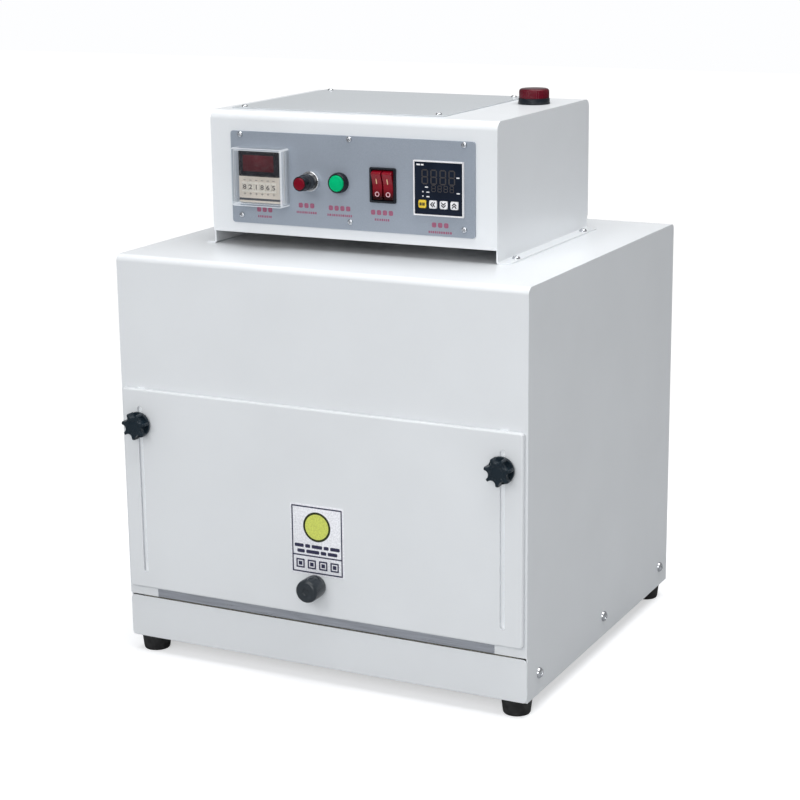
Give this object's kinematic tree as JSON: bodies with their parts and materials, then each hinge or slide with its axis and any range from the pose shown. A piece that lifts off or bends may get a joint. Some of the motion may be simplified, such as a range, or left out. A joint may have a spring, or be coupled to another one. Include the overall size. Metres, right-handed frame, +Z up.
{
  "type": "reflow oven",
  "caption": "Benchtop reflow oven: painted steel cabinet with a sliding front door, steel chamber with rack and fan, and a control box on top with a timer and a temperature controller.",
  "frame": {"origin": "on the bench (the plane under the feet), below the middle of the oven's overall outline, door handle and rear screws included; the cabinet's own middle is 10 mm behind it", "axes": "+X to the right of someone facing the door, +Y from the door towards the back, +Z up"},
  "size_m": [0.406, 0.385, 0.512],
  "materials": {
    "white_powder_coat": "fine textured white powder coat",
    "grey_plate": "satin blue-grey coated instrument plate",
    "stainless": "stainless sheet, lightly heat tinted",
    "zinc_steel": "zinc plated",
    "rack_wire": "bright wire",
    "heater_sheath": "dull oxidised sheath",
    "wool": "matt mineral wool",
    "aluminium_cast": "plain",
    "motor_steel": "grey paint",
    "brass": "turned",
    "chrome": "polished",
    "black_plastic": "fine matt moulding",
    "black_gloss": "glossy moulding",
    "charcoal_handle": "satin moulding",
    "rubber": "matt",
    "white_plastic": "satin",
    "beige_plastic": "satin",
    "wheel_plastic": "matt beige",
    "yellow_key": "satin",
    "red_cap": "glossy dark red",
    "green_cap": "glossy green",
    "red_rocker": "glossy translucent red",
    "red_lens": "glossy red",
    "clear_cover": "clear moulding",
    "smoked_window": "smoked glossy",
    "red_window": "dark red filter",
    "terminal_plastic": "phenolic",
    "relay_plastic": "moulded"
  },
  "bodies": {
    "cabinet": {"base_pan": "white_powder_coat", "lower_front_panel": "white_powder_coat", "cabinet_wrap": "white_powder_coat", "left_side_panel": "white_powder_coat", "right_side_panel": "white_powder_coat", "rear_cover": "white_powder_coat", "chamber_liner": "stainless", "chamber_insulation": "wool", "heating_elements": "heater_sheath", "rack_rails": "stainless", "fan_baffle": "stainless", "fan_motor": "motor_steel", "thermocouple": "zinc_steel", "feet": "rubber", "cabinet_screws": "chrome", "door_studs": "zinc_steel", "knob_washers": "zinc_steel", "control_box_wrap": "white_powder_coat", "control_box_left_cheek": "white_powder_coat", "control_box_right_cheek": "white_powder_coat", "control_box_lid": "white_powder_coat", "control_box_screws": "chrome", "instrument_panel": "grey_plate", "timer_case": "beige_plastic", "timer_display": "red_window", "buzzer_sleeve": "black_gloss", "buzzer_ring_nut": "chrome", "start_button_collar": "black_gloss", "rocker_frame": "black_plastic", "controller_case": "white_plastic", "controller_window": "smoked_window", "beacon_base": "black_plastic", "beacon_lens": "red_lens", "solid_state_relay": "relay_plastic", "terminal_block": "terminal_plastic", "mains_inlet": "black_gloss"},
    "door": {"door_panel": "white_powder_coat", "door_handle": "charcoal_handle"},
    "left_insert": {"left_knob_insert": "brass"},
    "right_insert": {"right_knob_insert": "brass"},
    "left_star_knob": {"left_knob": "black_plastic"},
    "right_star_knob": {"right_knob": "black_plastic"},
    "fan": {"fan_impeller": "aluminium_cast", "fan_shaft": "zinc_steel"},
    "rack": {"wire_rack": "rack_wire"},
    "timer_lid": {"timer_cover": "clear_cover"},
    "start_cap": {"start_button": "green_cap"},
    "buzzer_cap": {"buzzer_button": "red_cap"},
    "rocker_left": {"left_rocker": "red_rocker"},
    "rocker_right": {"right_rocker": "red_rocker"},
    "pad_set": {"set_key": "yellow_key"},
    "pad_shift": {"shift_key": "white_plastic"},
    "pad_down": {"down_key": "white_plastic"},
    "pad_up": {"up_key": "white_plastic"},
    "wheel_1": {"digit_wheel_1": "wheel_plastic"},
    "wheel_2": {"digit_wheel_2": "wheel_plastic"},
    "wheel_3": {"digit_wheel_3": "wheel_plastic"},
    "wheel_4": {"digit_wheel_4": "wheel_plastic"},
    "wheel_5": {"digit_wheel_5": "wheel_plastic"},
    "wheel_6": {"digit_wheel_6": "wheel_plastic"}
  },
  "joints": [
    {"name": "door_slide", "type": "slide", "parent": "cabinet", "child": "door", "axis": [0, 0, 1], "range_m": [-0.012, 0.137]},
    {"name": "left_knob_advance", "type": "slide", "parent": "cabinet", "child": "left_insert", "axis": [0, -1, 0], "range_m": [0, 0.002]},
    {"name": "left_knob_turn", "type": "hinge", "parent": "left_insert", "child": "left_star_knob", "pos_m": [-0.179, -0.1739, 0.222], "axis": [0, -1, 0], "range_deg": [0, 722]},
    {"name": "right_knob_advance", "type": "slide", "parent": "cabinet", "child": "right_insert", "axis": [0, -1, 0], "range_m": [0, 0.002]},
    {"name": "right_knob_turn", "type": "hinge", "parent": "right_insert", "child": "right_star_knob", "pos_m": [0.179, -0.1739, 0.222], "axis": [0, -1, 0], "range_deg": [0, 722]},
    {"name": "start_press", "type": "slide", "parent": "cabinet", "child": "start_cap", "axis": [0, 1, 0], "range_m": [0, 0.003], "stiffness_N_per_m": 300},
    {"name": "buzzer_press", "type": "slide", "parent": "cabinet", "child": "buzzer_cap", "axis": [0, 1, 0], "range_m": [0, 0.0025], "stiffness_N_per_m": 300},
    {"name": "set_key_press", "type": "slide", "parent": "cabinet", "child": "pad_set", "axis": [0, 1, 0], "range_m": [0, 0.0006], "stiffness_N_per_m": 800},
    {"name": "shift_key_press", "type": "slide", "parent": "cabinet", "child": "pad_shift", "axis": [0, 1, 0], "range_m": [0, 0.0006], "stiffness_N_per_m": 800},
    {"name": "down_key_press", "type": "slide", "parent": "cabinet", "child": "pad_down", "axis": [0, 1, 0], "range_m": [0, 0.0006], "stiffness_N_per_m": 800},
    {"name": "up_key_press", "type": "slide", "parent": "cabinet", "child": "pad_up", "axis": [0, 1, 0], "range_m": [0, 0.0006], "stiffness_N_per_m": 800},
    {"name": "left_rocker_tilt", "type": "hinge", "parent": "cabinet", "child": "rocker_left", "pos_m": [0.0262, -0.081, 0.4385], "axis": [-1, 0, 0], "range_deg": [0, 18]},
    {"name": "right_rocker_tilt", "type": "hinge", "parent": "cabinet", "child": "rocker_right", "pos_m": [0.0262, -0.081, 0.4385], "axis": [-1, 0, 0], "range_deg": [0, 18]},
    {"name": "timer_cover_pull", "type": "slide", "parent": "cabinet", "child": "timer_lid", "axis": [0, -1, 0], "range_m": [0, 0.02]},
    {"name": "digit_wheel_1_turn", "type": "hinge", "parent": "cabinet", "child": "wheel_1", "pos_m": [-0.1088, -0.0857, 0.4315], "axis": [1, 0, 0], "continuous": true},
    {"name": "digit_wheel_2_turn", "type": "hinge", "parent": "cabinet", "child": "wheel_2", "pos_m": [-0.1028, -0.0857, 0.4315], "axis": [1, 0, 0], "continuous": true},
    {"name": "digit_wheel_3_turn", "type": "hinge", "parent": "cabinet", "child": "wheel_3", "pos_m": [-0.0968, -0.0857, 0.4315], "axis": [1, 0, 0], "continuous": true},
    {"name": "digit_wheel_4_turn", "type": "hinge", "parent": "cabinet", "child": "wheel_4", "pos_m": [-0.0908, -0.0857, 0.4315], "axis": [1, 0, 0], "continuous": true},
    {"name": "digit_wheel_5_turn", "type": "hinge", "parent": "cabinet", "child": "wheel_5", "pos_m": [-0.0848, -0.0857, 0.4315], "axis": [1, 0, 0], "continuous": true},
    {"name": "digit_wheel_6_turn", "type": "hinge", "parent": "cabinet", "child": "wheel_6", "pos_m": [-0.0788, -0.0857, 0.4315], "axis": [1, 0, 0], "continuous": true},
    {"name": "rack_slide", "type": "slide", "parent": "cabinet", "child": "rack", "axis": [0, -1, 0], "range_m": [0, 0.028]},
    {"name": "fan_spin", "type": "hinge", "parent": "cabinet", "child": "fan", "pos_m": [0, 0, 0.144], "axis": [0, 1, 0], "continuous": true}
  ],
  "couplings": [
    {"joint": "left_knob_turn", "follows": "left_knob_advance", "rad_per_m": 6283.2},
    {"joint": "right_knob_turn", "follows": "right_knob_advance", "rad_per_m": 6283.2}
  ]
}
